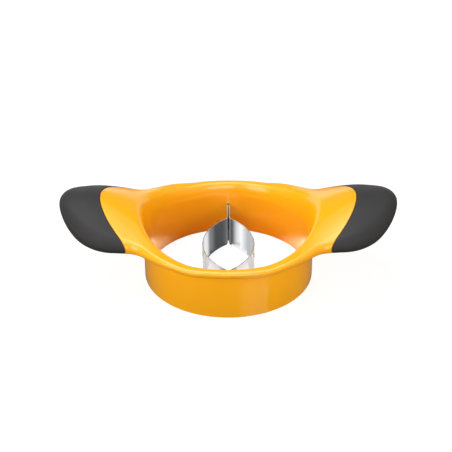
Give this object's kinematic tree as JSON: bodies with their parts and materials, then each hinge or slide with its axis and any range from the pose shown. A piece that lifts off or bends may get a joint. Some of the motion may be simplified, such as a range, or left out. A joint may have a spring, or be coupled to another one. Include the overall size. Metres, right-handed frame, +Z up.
{
  "type": "mango slicer",
  "caption": "Push-down mango slicer: a round yellow funnel ring with upswept wing handles, soft dark grips and bowed steel blades that part the fruit's flesh from its pit.",
  "frame": {"origin": "middle of the ring's foot, on the surface that the slicer stands on", "axes": "+X along the wings to the right one, +Y to the rear, +Z up"},
  "size_m": [0.2428, 0.1344, 0.0658],
  "materials": {
    "yellow_abs": "glossy moulded ABS",
    "soft_grip": "matte soft-touch elastomer",
    "core_plastic": "moulded polypropylene",
    "blade_steel": "polished stainless strip",
    "screw_steel": "plain stainless"
  },
  "bodies": {
    "root": {"funnel_body": "yellow_abs", "skirt_ring": "yellow_abs", "left_blade": "blade_steel", "right_blade": "blade_steel", "left_grip_core": "core_plastic", "right_grip_core": "core_plastic", "left_grip": "soft_grip", "right_grip": "soft_grip", "grip_screws": "screw_steel"}
  },
  "joints": []
}
